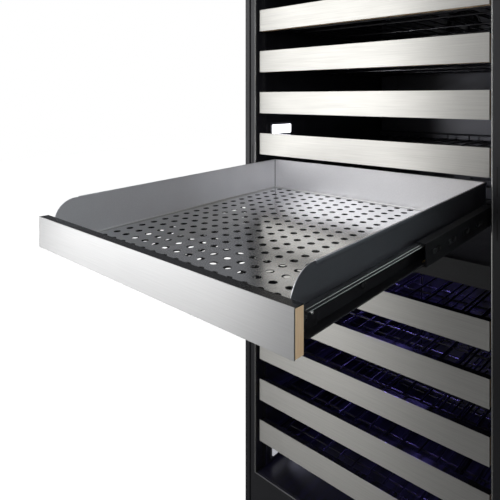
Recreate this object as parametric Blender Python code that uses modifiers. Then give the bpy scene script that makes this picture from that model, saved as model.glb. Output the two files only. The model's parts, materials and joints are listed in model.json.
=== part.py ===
"""Dual-zone wine cooler: a tall glass-door cabinet with pull-out bottle shelves and one perforated serving tray.

Lengths are in metres. While the pieces are made, X is 0 at the cabinet's middle and grows to the right, Y is 0 at
the plane of the shelf fronts and grows towards the back, and Z is 0 at the floor. At the end the whole assembly is
shifted so that the world origin is the middle of its footprint box, on the floor.
At rest the door stands open and the tray is drawn out to its stop.
"""

from math import atan, cos, pi, radians, sin

import bmesh
import bpy
from mathutils import Vector

# ---- Driving dimensions ---------------------------------------------------------------------------------------
HALF_WIDTH = 0.300  # cabinet, outside
GAP = 0.0003  # between neighbouring pieces
SHEET = 0.0008  # steel sheet
LINER_WALL = 0.002
INNER_HALF = 0.268  # inside of the liner
INNER_DEPTH = 0.625  # shelf-front plane to the liner's back wall
FOAM = HALF_WIDTH - SHEET - GAP - (INNER_HALF + LINER_WALL + GAP)

SLOT_PITCH = 0.0976
SLOTS = 11
TRAY_SLOT = 4
DIVIDER_SLOT = 5
FRONT_HEIGHT = 0.0505
FRONT_THICKNESS = 0.0155
FRONT_HALF = 0.260
HEADROOM = 0.085  # above the top shelf front
FLOOR_ROOM = 0.075  # below the bottom shelf front

FOOT_HEIGHT = 0.030
PAN_SHEET = 0.0015
MACHINE_ROOM = 0.203  # base pan to the foam's underside
INNER_FLOOR = FOOT_HEIGHT + PAN_SHEET + MACHINE_ROOM + FOAM + GAP + LINER_WALL
TOP_FRONT = INNER_FLOOR + FLOOR_ROOM + FRONT_HEIGHT + (SLOTS - 1) * SLOT_PITCH
INNER_TOP = TOP_FRONT + HEADROOM
CABINET_TOP = INNER_TOP + LINER_WALL + GAP + FOAM + GAP + SHEET
FOAM_BACK = INNER_DEPTH + LINER_WALL + GAP + FOAM
BACK = FOAM_BACK + GAP + SHEET

FLANGE_FRONT = -0.008
FLANGE_BOTTOM = 0.080
OPENING_HALF = 0.267

PANEL_INNER = 0.262  # inner face of the side runner panels
PANEL_OUTER = INNER_HALF - GAP
LEDGE_REACH = 0.022
LEDGE_THICKNESS = 0.003
LEDGE_START = 0.022
PANEL_END = 0.580

LOUVRE_ROWS = 8  # of the rear grille
LOUVRE_PITCH = 0.020
LOUVRE_START = 0.025
LOUVRE_OFFSET = 0.145
LOUVRE_HALF = 0.105
LOUVRE_HEIGHT = 0.008

KICK_ROWS = 4  # slots under the door
KICK_PITCH = 0.008
KICK_START = 0.009
KICK_PLACES = (-0.195, -0.065, 0.065, 0.195)
KICK_HALF = 0.060
KICK_SLOT = 0.004  # a slot's height, and the grille's thickness
KICK_SETBACK = 0.022

RACK_HALF = 0.2455
RACK_WIRE = 0.0045
RACK_DROP = 0.036  # rack's top below the shelf front's top
RACK_END = 0.568
RACK_BAYS = 6

TRAY_TRAVEL = 0.533
TRAY_RISE = 0.032  # rise of the tray's slides and pan towards the back, per metre of depth
TRAY_FRONT_DROP = 0.0091  # tray front's top below its slot's nominal top
TRAY_FRONT_HEIGHT = 0.049
FACE_SHEET = 0.001
PAN_HALF = 0.2425
PAN_WALL_TOP = 0.0145  # at the pan's front, above the slot's nominal top
PAN_FLOOR = -0.0530  # at the pan's front, below the slot's nominal top
PAN_BACK = 0.5695
PAN_CORNER = 0.037

SLIDE_MIDDLE_Z = -0.0361  # at the plane of the shelf fronts, from the slot's nominal top
SLIDE_SHEET = 0.0012
SLIDE_START = 0.0165  # cabinet and middle members, when the tray is in
CABINET_MEMBER_LENGTH = 0.5175
MIDDLE_LENGTH = 0.500
DRAWER_MEMBER_START = 0.026  # behind the tray's front
DRAWER_MEMBER_LENGTH = 0.507

DUCT_FACE = 0.585
DUCT_SHEET = 0.003
DUCT_HALF = 0.255
FAN_RADIUS = 0.044
FAN_SETBACK = 0.008  # of a fan's middle behind its duct's sheet

DIVIDER_TOP = -0.0042  # from its slot's nominal top
DIVIDER_HEIGHT = 0.0415

DOOR_HALF = 0.303
DOOR_BOTTOM = 0.118
DOOR_TOP = CABINET_TOP - 0.006
DOOR_BACK = -0.0136
DOOR_DEPTH = 0.036
DOOR_RAIL = 0.050
GLASS_THICKNESS = 0.008
GASKET = 0.005
GASKET_HALF = 0.291
GASKET_WIDTH = 0.018
GASKET_INSIDE = 0.004  # from the inner cabinet's floor and ceiling to the gasket's inner edge
HINGE_X = 0.296
HINGE_Y = -0.0195
DOOR_ANGLE = radians(115)  # how far the door stands open
PIN_RADIUS = 0.0034
PIN_HOLE = 0.0040
PIN_DEPTH = 0.015  # of the pin in the door
BRACKET = 0.003
BRACKET_NOSE = 0.009  # radius about the pin
BRACKET_INNER = 0.262
BRACKET_BACK = 0.060
BRACKET_CORNER = 0.012  # of the top plate's inner corner, behind the hinge axis
BRACKET_BOTTOM = 0.084
BRACKET_CLEARANCE = 0.0035  # under the door
HANDLE_RADIUS = 0.007

FOOT_X = 0.250
FOOT_FRONT_Y = 0.050
FOOT_BACK_Y = 0.610

ASSEMBLY = "wine_cooler"
UPRIGHT = (pi / 2, 0, 0)  # a flat outline's x and y become world X and Z, and its depth runs along Y
SIDEWAYS = (pi / 2, 0, pi / 2)  # x and y become world Y and Z, and its depth runs along X
LEVEL = (0, 0, 0)


# ---- Scene, materials and helpers -----------------------------------------------------------------------------
def clear_scene():
    for obj in list(bpy.data.objects):
        bpy.data.objects.remove(obj, do_unlink=True)


def new_collection(name):
    collection = bpy.data.collections.new(name)
    bpy.context.scene.collection.children.link(collection)
    return collection


def material(name, colour, roughness, metallic=0.0):
    made = bpy.data.materials.new(name)
    made.use_nodes = True
    shader = made.node_tree.nodes["Principled BSDF"]
    shader.inputs["Base Color"].default_value = (*colour, 1.0)
    shader.inputs["Roughness"].default_value = roughness
    shader.inputs["Metallic"].default_value = metallic
    return made


def place(obj, parent, collection=None):
    (collection or PARTS).objects.link(obj)
    obj.parent = parent
    return obj


def mesh_object(name, bm, finish, parent, location=(0, 0, 0), rotation=(0, 0, 0)):
    mesh = bpy.data.meshes.new(name)
    bm.to_mesh(mesh)
    bm.free()
    mesh.materials.append(finish)
    obj = bpy.data.objects.new(name, mesh)
    obj.location = location
    obj.rotation_euler = rotation
    return place(obj, parent)


def bevel(obj, width, segments=2):
    modifier = obj.modifiers.new("rounded_edges", "BEVEL")
    modifier.width = width
    modifier.segments = segments
    modifier.limit_method = "ANGLE"
    return obj


def box(name, low, high, finish, parent, rounding=0.0):
    """A block between two corners, with its origin at its middle."""
    low, high = Vector(low), Vector(high)
    bm = bmesh.new()
    bmesh.ops.create_cube(bm, size=1.0)
    bmesh.ops.scale(bm, vec=high - low, verts=bm.verts)
    obj = mesh_object(name, bm, finish, parent, (low + high) / 2)
    return bevel(obj, rounding) if rounding else obj


def open_box(name, low, high, wall, finish, parent):
    """A five-sided case, open at its front, whose walls grow outwards from the inner corners low and high."""
    low, high = Vector(low), Vector(high)
    bm = bmesh.new()
    bmesh.ops.create_cube(bm, size=1.0)
    bmesh.ops.scale(bm, vec=high - low, verts=bm.verts)
    front = [face for face in bm.faces if face.normal.y < -0.5]
    bmesh.ops.delete(bm, geom=front, context="FACES_ONLY")
    obj = mesh_object(name, bm, finish, parent, (low + high) / 2)
    shell = obj.modifiers.new("walls", "SOLIDIFY")
    shell.thickness = wall
    shell.offset = 1.0
    shell.use_even_offset = True
    return obj


def flat(name, loops, depth, finish, parent, location=(0, 0, 0), rotation=UPRIGHT):
    """An outline with any holes, filled and given a depth centred on its location."""
    curve = bpy.data.curves.new(name, "CURVE")
    curve.dimensions = "2D"
    curve.fill_mode = "BOTH"
    curve.extrude = depth / 2
    for points in loops:
        spline = curve.splines.new("POLY")
        spline.points.add(len(points) - 1)
        for point, (x, y) in zip(spline.points, points):
            point.co = (x, y, 0, 1)
        spline.use_cyclic_u = True
    curve.materials.append(finish)
    obj = bpy.data.objects.new(name, curve)
    obj.location = location
    obj.rotation_euler = rotation
    return place(obj, parent)


def turned(name, profile, steps, finish, parent, location):
    """A profile of (radius, height) points, top to bottom on its outer side, turned about Z."""
    mesh = bpy.data.meshes.new(name)
    edges = [(i, i + 1) for i in range(len(profile) - 1)]
    mesh.from_pydata([(r, 0, z) for r, z in profile], edges, [])
    mesh.materials.append(finish)
    obj = bpy.data.objects.new(name, mesh)
    obj.location = location
    screw = obj.modifiers.new("turn", "SCREW")
    screw.steps = steps
    screw.render_steps = steps
    screw.use_merge_vertices = True
    screw.merge_threshold = 0.00001
    screw.use_smooth_shade = True
    return place(obj, parent)


def tube(name, points, radius, finish, parent, location=(0, 0, 0)):
    """A round bar along straight runs, with its ends closed."""
    curve = bpy.data.curves.new(name, "CURVE")
    curve.dimensions = "3D"
    curve.bevel_depth = radius
    curve.bevel_resolution = 2
    curve.use_fill_caps = True
    spline = curve.splines.new("POLY")
    spline.points.add(len(points) - 1)
    for point, position in zip(spline.points, points):
        point.co = (*position, 1)
    curve.materials.append(finish)
    obj = bpy.data.objects.new(name, curve)
    obj.location = location
    return place(obj, parent)


def rectangle(low_x, low_y, high_x, high_y):
    return [(low_x, low_y), (high_x, low_y), (high_x, high_y), (low_x, high_y)]


def circle(x, y, radius, steps=24):
    return [(x + radius * cos(2 * pi * i / steps), y + radius * sin(2 * pi * i / steps)) for i in range(steps)]


def arc(x, y, radius, start, end, steps):
    """Points on an arc about (x, y), from start to end in degrees."""
    angles = [radians(start + (end - start) * i / steps) for i in range(steps + 1)]
    return [(x + radius * cos(a), y + radius * sin(a)) for a in angles]


def comb(width, root, height, teeth, tooth):
    """The outline of a finned block: a root plate from y = 0 with thin fins standing on it."""
    points = [(width, 0), (width, height)]
    pitch = (width - tooth) / (teeth - 1)
    for i in reversed(range(teeth - 1)):
        gap_right = (i + 1) * pitch
        gap_left = i * pitch + tooth
        points += [(gap_right, height), (gap_right, root), (gap_left, root), (gap_left, height)]
    return points + [(0, height), (0, 0)]


def blades(hub, tip, count):
    """The outline of a fan wheel: a round hub with swept blades, each a pointed sector with a rounded tip."""
    points = []
    for i in range(count):
        start = 360 * i / count
        points += arc(0, 0, hub, start, start + 70 / count, 1)
        points += arc(0, 0, tip, start + 110 / count, start + 330 / count, 4)
    return points


def cut(obj, cutter_name, cutter_mesh, location):
    """Takes a hidden cutter's shape out of obj."""
    cutter = bpy.data.objects.new(cutter_name, cutter_mesh)
    cutter.location = location
    cutter.hide_render = True
    cutter.display_type = "WIRE"
    place(cutter, obj.parent, CUTTERS)
    modifier = obj.modifiers.new(cutter_name, "BOOLEAN")
    modifier.operation = "DIFFERENCE"
    modifier.object = cutter


def join(obj, other_name, other_mesh, location):
    """Adds a hidden solid's shape to obj."""
    other = bpy.data.objects.new(other_name, other_mesh)
    other.location = location
    other.hide_render = True
    other.display_type = "WIRE"
    place(other, obj.parent, CUTTERS)
    modifier = obj.modifiers.new(other_name, "BOOLEAN")
    modifier.operation = "UNION"
    modifier.object = other


def cylinder_mesh(name, radius, depth, steps=24):
    bm = bmesh.new()
    bmesh.ops.create_cone(bm, cap_ends=True, segments=steps, radius1=radius, radius2=radius, depth=depth)
    mesh = bpy.data.meshes.new(name)
    bm.to_mesh(mesh)
    bm.free()
    return mesh


def solid_from_curve(obj):
    """Turns a curve object into a welded mesh object of the same name, so that it can be cut or joined."""
    bpy.context.view_layer.update()
    evaluated = obj.evaluated_get(bpy.context.evaluated_depsgraph_get())
    mesh = bpy.data.meshes.new_from_object(evaluated)
    bm = bmesh.new()
    bm.from_mesh(mesh)
    bmesh.ops.remove_doubles(bm, verts=bm.verts, dist=0.00001)
    bmesh.ops.recalc_face_normals(bm, faces=bm.faces)
    bm.to_mesh(mesh)
    bm.free()
    name, parent = obj.name, obj.parent
    location, rotation = obj.location.copy(), obj.rotation_euler.copy()
    bpy.data.objects.remove(obj)
    made = bpy.data.objects.new(name, mesh)
    made.location = location
    made.rotation_euler = rotation
    return place(made, parent)


def axis_empty(name, location, parent):
    """An empty on a joint's axis, which carries the pieces that move together."""
    empty = bpy.data.objects.new(name, None)
    empty.location = location
    empty.empty_display_size = 0.05
    return place(empty, parent)


def slot_top(slot):
    """Height of the top edge of the shelf front in a slot, counted from the top of the cabinet."""
    return TOP_FRONT - slot * SLOT_PITCH


# ---- Cabinet --------------------------------------------------------------------------------------------------
def outer_shell():
    inside = HALF_WIDTH - SHEET
    outline = [(HALF_WIDTH, FOOT_HEIGHT), (HALF_WIDTH, CABINET_TOP), (-HALF_WIDTH, CABINET_TOP)]
    outline += [(-HALF_WIDTH, FOOT_HEIGHT), (-inside, FOOT_HEIGHT), (-inside, CABINET_TOP - SHEET)]
    outline += [(inside, CABINET_TOP - SHEET), (inside, FOOT_HEIGHT)]
    flat("outer_shell", [outline], BACK, CABINET_PAINT, ROOT, (0, BACK / 2, 0))


def liner_and_foam():
    low = Vector((-INNER_HALF, 0, INNER_FLOOR))
    high = Vector((INNER_HALF, INNER_DEPTH, INNER_TOP))
    open_box("inner_liner", low, high, LINER_WALL, BLACK_PLASTIC, ROOT)
    grow = LINER_WALL + GAP
    low = low - Vector((grow, 0, grow))
    high = high + Vector((grow, grow, grow))
    open_box("foam_insulation", low, high, FOAM, FOAM_FINISH, ROOT)


def back_panel():
    half = HALF_WIDTH - SHEET - GAP
    low = (-half, BACK - SHEET, INNER_FLOOR - LINER_WALL - GAP - FOAM)
    high = (half, BACK, CABINET_TOP - SHEET - GAP)
    box("back_panel", low, high, GALVANISED, ROOT)


def rear_grille():
    half = HALF_WIDTH - SHEET - GAP
    low = FOOT_HEIGHT + PAN_SHEET + GAP
    high = INNER_FLOOR - LINER_WALL - 2 * GAP - FOAM
    loops = [rectangle(-half, low, half, high)]
    for row in range(LOUVRE_ROWS):
        z = low + LOUVRE_START + LOUVRE_PITCH * row
        for middle in (-LOUVRE_OFFSET, LOUVRE_OFFSET):
            loops.append(rectangle(middle - LOUVRE_HALF, z, middle + LOUVRE_HALF, z + LOUVRE_HEIGHT))
    flat("rear_grille", loops, SHEET, GALVANISED, ROOT, (0, BACK - SHEET / 2, 0))


def base_pan():
    half = HALF_WIDTH - SHEET - GAP
    low = (-half, 0, FOOT_HEIGHT)
    box("base_pan", low, (half, FOAM_BACK, FOOT_HEIGHT + PAN_SHEET), GALVANISED, ROOT)


def feet():
    stem = FOOT_HEIGHT - GAP
    profile = [(0, stem), (0.012, stem), (0.012, 0.016), (0.017, 0.014), (0.022, 0.006), (0.022, 0), (0, 0)]
    for end, y in (("front", FOOT_FRONT_Y), ("rear", FOOT_BACK_Y)):
        for side, x in (("left", -FOOT_X), ("right", FOOT_X)):
            turned(f"foot_{end}_{side}", profile, 16, BLACK_RUBBER, ROOT, (x, y, 0))


def front_frame():
    loops = [rectangle(-HALF_WIDTH, FLANGE_BOTTOM, HALF_WIDTH, CABINET_TOP)]
    loops.append(rectangle(-OPENING_HALF, INNER_FLOOR, OPENING_HALF, INNER_TOP))
    depth = -FLANGE_FRONT - GAP
    flat("front_frame", loops, depth, BLACK_PLASTIC, ROOT, (0, FLANGE_FRONT + depth / 2, 0))


def kick_grille():
    half = HALF_WIDTH - SHEET - GAP
    low = FOOT_HEIGHT + PAN_SHEET + GAP
    high = FLANGE_BOTTOM
    loops = [rectangle(-half, low, half, high)]
    for row in range(KICK_ROWS):
        z = low + KICK_START + KICK_PITCH * row
        for middle in KICK_PLACES:
            loops.append(rectangle(middle - KICK_HALF, z, middle + KICK_HALF, z + KICK_SLOT))
    flat("kick_grille", loops, KICK_SLOT, BLACK_PLASTIC, ROOT, (0, KICK_SETBACK, 0))


def zone_divider():
    top = slot_top(DIVIDER_SLOT) + DIVIDER_TOP
    half = PANEL_INNER - GAP
    low = (-half, 0, top - DIVIDER_HEIGHT)
    box("zone_divider", low, (half, DUCT_FACE - 0.002, top), DARK_PANEL, ROOT, 0.0008)
    middle = top - DIVIDER_HEIGHT / 2
    low = (-0.075, -0.0015 - GAP, middle - 0.014)
    box("control_panel", low, (0.075, -GAP, middle + 0.014), GLOSS_BLACK, ROOT, 0.0004)


def runner_panel(name, side):
    """A side wall insert with a ledge under each rack; side is 1 on the right and -1 on the left."""
    low, high = INNER_FLOOR + 0.001, INNER_TOP - 0.001
    outline = [(PANEL_OUTER, low), (PANEL_OUTER, high), (PANEL_INNER, high)]
    for slot in shelf_slots():
        ledge = slot_top(slot) - RACK_DROP - RACK_WIRE - GAP
        reach = PANEL_INNER - LEDGE_REACH
        outline += [(PANEL_INNER, ledge), (reach, ledge)]
        outline += [(reach, ledge - LEDGE_THICKNESS), (PANEL_INNER, ledge - LEDGE_THICKNESS)]
    outline.append((PANEL_INNER, low))
    outline = [(side * x, z) for x, z in outline]
    depth = PANEL_END - LEDGE_START
    flat(name, [outline], depth, BLACK_PLASTIC, ROOT, (0, LEDGE_START + depth / 2, 0))


# ---- Cooling and light ----------------------------------------------------------------------------------------
def air_duct(name, low, high, fan_z):
    """A back cover with a round fan opening and rows of air slots."""
    loops = [rectangle(-DUCT_HALF, low, DUCT_HALF, high), circle(0, fan_z, FAN_RADIUS + 0.004)]
    for row in range(3):
        z = low + 0.030 + 0.018 * row
        loops += [rectangle(x - 0.030, z, x + 0.030, z + 0.007) for x in (-0.160, -0.053, 0.053, 0.160)]
    flat(name, loops, DUCT_SHEET, DARK_PANEL, ROOT, (0, DUCT_FACE + DUCT_SHEET / 2, 0))


def fan_wheel(name, location, radius):
    flat(name, [blades(radius * 0.36, radius, 5)], 0.012, BLACK_PLASTIC, ROOT, location)


def cooling_system():
    divider_top = slot_top(DIVIDER_SLOT) + DIVIDER_TOP
    divider_bottom = divider_top - DIVIDER_HEIGHT
    upper_fan = INNER_TOP - 0.090
    lower_fan = divider_bottom - 0.090
    air_duct("air_duct_upper", divider_top + 0.002, INNER_TOP - 0.003, upper_fan)
    air_duct("air_duct_lower", INNER_FLOOR + 0.003, divider_bottom - 0.002, lower_fan)
    fan_y = DUCT_FACE + DUCT_SHEET + FAN_SETBACK
    fan_wheel("fan_upper", (0, fan_y, upper_fan), FAN_RADIUS)
    fan_wheel("fan_lower", (0, fan_y, lower_fan), FAN_RADIUS)
    width, height = 0.38, 0.22
    low = divider_top + 0.050
    fins = [comb(width, 0.003, 0.026, 14, 0.0015)]
    location = (-width / 2, DUCT_FACE + DUCT_SHEET + 0.004, low + height / 2)
    flat("evaporator", fins, height, ALUMINIUM, ROOT, location, LEVEL)


def machine_room():
    floor = FOOT_HEIGHT + PAN_SHEET + GAP
    profile = [(0, 0.158), (0.030, 0.154), (0.050, 0.140), (0.058, 0.115), (0.060, 0.075), (0.058, 0.045)]
    profile += [(0.052, 0.028), (0.052, 0.020), (0.066, 0.018), (0.066, 0.012), (0.030, 0.012)]
    profile += [(0.030, 0), (0, 0)]
    turned("compressor", profile, 24, COMPRESSOR_PAINT, ROOT, (0.130, 0.500, floor))
    width, height = 0.210, 0.150
    fins = [comb(width, 0.003, 0.070, 16, 0.0012)]
    flat("condenser", fins, height, ALUMINIUM, ROOT, (-0.240, 0.560, floor + height / 2), LEVEL)
    fan_wheel("condenser_fan", (-0.135, 0.535, floor + height / 2), 0.060)


def lamp(name, top):
    low = (-PANEL_INNER + GAP, 0.044, top - 0.0255)
    box(name, low, (-PANEL_INNER + 0.0050, 0.119, top), LAMP_GLOW, ROOT, 0.0015)


def lights():
    lamp("lamp_upper", slot_top(2) - 0.078)
    lamp("lamp_lower", slot_top(2) - 0.869)
    top = slot_top(DIVIDER_SLOT) + DIVIDER_TOP - DIVIDER_HEIGHT - 0.180
    low = (-0.124, DUCT_FACE - GAP - 0.0035, INNER_FLOOR + 0.090)
    box("led_strip", low, (-0.116, DUCT_FACE - GAP, top), LED_GLOW, ROOT)


# ---- Shelves --------------------------------------------------------------------------------------------------
def shelf_slots():
    return [slot for slot in range(SLOTS) if slot not in (TRAY_SLOT, DIVIDER_SLOT)]


def rack_outline():
    """A wire grid seen from above: a frame with front-to-back wires and one cross wire."""
    start, half = FRONT_THICKNESS + GAP, RACK_WIRE / 2
    lines_x = [(-1 + 2 * i / RACK_BAYS) * (RACK_HALF - half) for i in range(RACK_BAYS + 1)]
    lines_y = [start + half, 0.140, RACK_END - half]
    loops = [rectangle(-RACK_HALF, start, RACK_HALF, RACK_END)]
    for left, right in zip(lines_x, lines_x[1:]):
        for near, far in zip(lines_y, lines_y[1:]):
            loops.append(rectangle(left + half, near + half, right - half, far - half))
    return loops


def shelf(number, slot):
    top = slot_top(slot)
    carrier = axis_empty(f"shelf_{number}_slide_axis", (0, 0, top), ROOT)
    low = (-FRONT_HALF, 0, -FRONT_HEIGHT)
    box(f"shelf_{number}_front", low, (FRONT_HALF, FRONT_THICKNESS, 0), STAINLESS, carrier, 0.0006)
    location = (0, 0, -RACK_DROP - RACK_WIRE / 2)
    flat(f"shelf_{number}_rack", rack_outline(), RACK_WIRE, BLACK_WIRE, carrier, location, LEVEL)


# ---- Serving tray and its slides ------------------------------------------------------------------------------
def channel(web, tip, half_height):
    """A C-shaped section: a web at x = web and two flanges reaching to x = tip."""
    sign = 1 if tip > web else -1
    inner = web + sign * SLIDE_SHEET
    flange = half_height - SLIDE_SHEET
    points = [(web, -half_height), (tip, -half_height), (tip, -flange), (inner, -flange)]
    return points + [(inner, flange), (tip, flange), (tip, half_height), (web, half_height)]


def slide_member(name, side, section, start, length, parent):
    """A member that runs uphill to the back, as the tray's joint axis does."""
    outline = [(side * x, z) for x, z in section]
    middle = start + length / 2
    location = (0, middle, SLIDE_MIDDLE_Z + TRAY_RISE * middle)
    flat(name, [outline], length, BLACK_STEEL, parent, location, (pi / 2 + atan(TRAY_RISE), 0, 0))


def tray_pan(carrier):
    """A sheet pan, open at its front and top, whose floor and wall tops rise to the back like its slides."""
    front = FRONT_THICKNESS + GAP
    low = Vector((-PAN_HALF, front, PAN_FLOOR))
    high = Vector((PAN_HALF, PAN_BACK, PAN_WALL_TOP))
    bm = bmesh.new()
    bmesh.ops.create_cube(bm, size=1.0)
    bmesh.ops.scale(bm, vec=high - low, verts=bm.verts)
    bmesh.ops.translate(bm, vec=(low + high) / 2, verts=bm.verts)
    opened = [face for face in bm.faces if face.normal.y < -0.5 or face.normal.z > 0.5]
    bmesh.ops.delete(bm, geom=opened, context="FACES")
    corners = [v for v in bm.verts if v.co.y < front + 0.001 and v.co.z > PAN_WALL_TOP - 0.001]
    bmesh.ops.bevel(bm, geom=corners, offset=PAN_CORNER, segments=6, profile=0.5, affect="VERTICES")
    for vert in bm.verts:
        vert.co.z += TRAY_RISE * vert.co.y
    pan = mesh_object("tray_pan", bm, STAINLESS, carrier)
    walls = pan.modifiers.new("sheet", "SOLIDIFY")
    walls.thickness = FACE_SHEET
    walls.offset = -1.0
    walls.use_even_offset = True


def tray():
    top = slot_top(TRAY_SLOT)
    drawn = axis_empty("tray_slide_axis", (0, -TRAY_TRAVEL, top), ROOT)
    rise = TRAY_RISE * TRAY_TRAVEL
    halfway = axis_empty("slide_middles_axis", (0, -TRAY_TRAVEL / 2, top + rise / 2), ROOT)
    fixed = axis_empty("slide_cabinet_side", (0, 0, top + rise), ROOT)
    upper, lower = -TRAY_FRONT_DROP, -TRAY_FRONT_DROP - TRAY_FRONT_HEIGHT
    low = (-FRONT_HALF, 0, lower)
    box("tray_front_face", low, (FRONT_HALF, FACE_SHEET, upper), STAINLESS, drawn)
    low = (-FRONT_HALF, FACE_SHEET + GAP, lower)
    box("tray_front_core", low, (FRONT_HALF, FRONT_THICKNESS, upper), WOOD, drawn, 0.0005)
    tray_pan(drawn)
    sections = {
        "cabinet": (channel(0.2617, 0.2505, 0.01825), SLIDE_START, CABINET_MEMBER_LENGTH, fixed),
        "middle": (channel(0.2597, 0.2460, 0.0158), SLIDE_START, MIDDLE_LENGTH, halfway),
        "drawer": (channel(0.2428, 0.2565, 0.0130), DRAWER_MEMBER_START, DRAWER_MEMBER_LENGTH, drawn),
    }
    for side_name, side in (("left", -1), ("right", 1)):
        for member, (section, start, length, parent) in sections.items():
            slide_member(f"slide_{side_name}_{member}", side, section, start, length, parent)


# ---- Door -----------------------------------------------------------------------------------------------------
def add_pin(plate, low, high):
    pin = cylinder_mesh(plate.name + "_pin", PIN_RADIUS, high - low)
    join(plate, plate.name + "_pin", pin, (HINGE_X, HINGE_Y, (low + high) / 2))


def hinge_top():
    """A plate on the cabinet's top that reaches over the door's edge, with a pin down into it."""
    outline = arc(HINGE_X, HINGE_Y, BRACKET_NOSE, 180, 360, 8)
    outline += [(HINGE_X + BRACKET_NOSE, BRACKET_BACK), (BRACKET_INNER, BRACKET_BACK)]
    outline.append((BRACKET_INNER, HINGE_Y + BRACKET_CORNER))
    location = (0, 0, CABINET_TOP + GAP + BRACKET / 2)
    plate = solid_from_curve(flat("hinge_top", [outline], BRACKET, BLACK_STEEL, ROOT, location, LEVEL))
    add_pin(plate, DOOR_TOP - PIN_DEPTH, CABINET_TOP + GAP + BRACKET / 2)


def hinge_bottom():
    """An angle bracket on the front frame's lower edge, with a pin up into the door."""
    back = FLANGE_FRONT - GAP
    top = DOOR_BOTTOM - BRACKET_CLEARANCE
    nose = HINGE_Y - BRACKET_NOSE
    outline = [(back, BRACKET_BOTTOM), (back, top), (nose, top), (nose, top - BRACKET)]
    outline += [(back - BRACKET, top - BRACKET), (back - BRACKET, BRACKET_BOTTOM)]
    width = HINGE_X + BRACKET_NOSE - BRACKET_INNER
    location = (BRACKET_INNER + width / 2, 0, 0)
    angle = solid_from_curve(flat("hinge_bottom", [outline], width, BLACK_STEEL, ROOT, location, SIDEWAYS))
    add_pin(angle, top - BRACKET / 2, DOOR_BOTTOM + PIN_DEPTH)


def door():
    """The door is laid out as if shut, relative to its hinge axis, and then swung open with that axis."""
    axis = axis_empty("door_hinge_axis", (HINGE_X, HINGE_Y, 0), ROOT)
    left, right = -DOOR_HALF - HINGE_X, DOOR_HALF - HINGE_X
    front = DOOR_BACK - DOOR_DEPTH - HINGE_Y
    inner_left, inner_right = left + DOOR_RAIL, right - DOOR_RAIL
    inner_low, inner_high = DOOR_BOTTOM + DOOR_RAIL, DOOR_TOP - DOOR_RAIL
    loops = [rectangle(left, DOOR_BOTTOM, right, DOOR_TOP)]
    loops.append(rectangle(inner_left, inner_low, inner_right, inner_high))
    frame = flat("door_frame", loops, DOOR_DEPTH, STAINLESS, axis, (0, front + DOOR_DEPTH / 2, 0))
    frame = solid_from_curve(frame)
    for end, z in (("bottom", DOOR_BOTTOM), ("top", DOOR_TOP)):
        hole = cylinder_mesh(f"pin_hole_{end}", PIN_HOLE, 0.040)
        cut(frame, f"pin_hole_{end}", hole, (0, 0, z))
    low = (inner_left + GAP, front + 0.003, inner_low + GAP)
    high = (inner_right - GAP, front + 0.003 + GLASS_THICKNESS, inner_high - GAP)
    box("door_glass", low, high, GLASS, axis)
    loops = []
    for half, inside in ((GASKET_HALF, GASKET_INSIDE + GASKET_WIDTH), (GASKET_HALF - GASKET_WIDTH, GASKET_INSIDE)):
        low, high = INNER_FLOOR - inside, INNER_TOP + inside
        loops.append(rectangle(-half - HINGE_X, low, half - HINGE_X, high))
    gasket_y = DOOR_BACK + GAP + GASKET / 2 - HINGE_Y
    flat("door_gasket", loops, GASKET, BLACK_RUBBER, axis, (0, gasket_y, 0))
    door_handle(axis, left + DOOR_RAIL / 2, front)
    axis.rotation_euler = (0, 0, DOOR_ANGLE)


def door_handle(axis, x, front):
    """A long vertical bar whose ends turn in to the door's face."""
    low, high, bend, reach = 0.620, 1.120, 0.014, 0.046
    outer = front - reach
    route = [(front - GAP, low)]
    route += [(y, z) for y, z in arc(outer + bend, low + bend, bend, 270, 180, 4)]
    route += [(y, z) for y, z in arc(outer + bend, high - bend, bend, 180, 90, 4)]
    route.append((front - GAP, high))
    tube("door_handle", [(x, y, z) for y, z in route], HANDLE_RADIUS, BRIGHT_STEEL, axis)


# ---- Assembly -------------------------------------------------------------------------------------------------
def centre_on_floor():
    """Shifts the assembly so that its box stands centred on the world origin."""
    bpy.context.view_layer.update()
    graph = bpy.context.evaluated_depsgraph_get()
    corners = []
    for obj in PARTS.objects:
        if obj.type in ("MESH", "CURVE"):
            solid = obj.evaluated_get(graph)
            mesh = solid.to_mesh()
            corners += [solid.matrix_world @ vertex.co for vertex in mesh.vertices]
            solid.to_mesh_clear()
    low = Vector([min(point[i] for point in corners) for i in range(3)])
    high = Vector([max(point[i] for point in corners) for i in range(3)])
    ROOT.location = (-(low.x + high.x) / 2, -(low.y + high.y) / 2, -low.z)


clear_scene()
PARTS = new_collection(ASSEMBLY)
CUTTERS = new_collection("cutters")
ROOT = axis_empty(ASSEMBLY + "_origin", (0, 0, 0), None)

CABINET_PAINT = material("cabinet_paint", (0.020, 0.020, 0.022), 0.45)
BLACK_PLASTIC = material("black_plastic", (0.018, 0.018, 0.020), 0.35)
DARK_PANEL = material("dark_panel", (0.045, 0.045, 0.050), 0.45)
GLOSS_BLACK = material("gloss_black", (0.010, 0.010, 0.012), 0.08)
BLACK_RUBBER = material("black_rubber", (0.015, 0.015, 0.015), 0.80)
BLACK_STEEL = material("black_steel", (0.015, 0.015, 0.017), 0.35, 0.6)
BLACK_WIRE = material("black_wire", (0.012, 0.012, 0.014), 0.25)
STAINLESS = material("brushed_stainless", (0.60, 0.59, 0.57), 0.32, 1.0)
BRIGHT_STEEL = material("bright_steel", (0.70, 0.70, 0.70), 0.18, 1.0)
WOOD = material("beech_core", (0.58, 0.35, 0.17), 0.60)
GLASS = material("tinted_glass", (0.55, 0.58, 0.58), 0.03)
GALVANISED = material("galvanised_steel", (0.50, 0.51, 0.52), 0.45, 1.0)
ALUMINIUM = material("aluminium_fins", (0.75, 0.75, 0.76), 0.35, 1.0)
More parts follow.
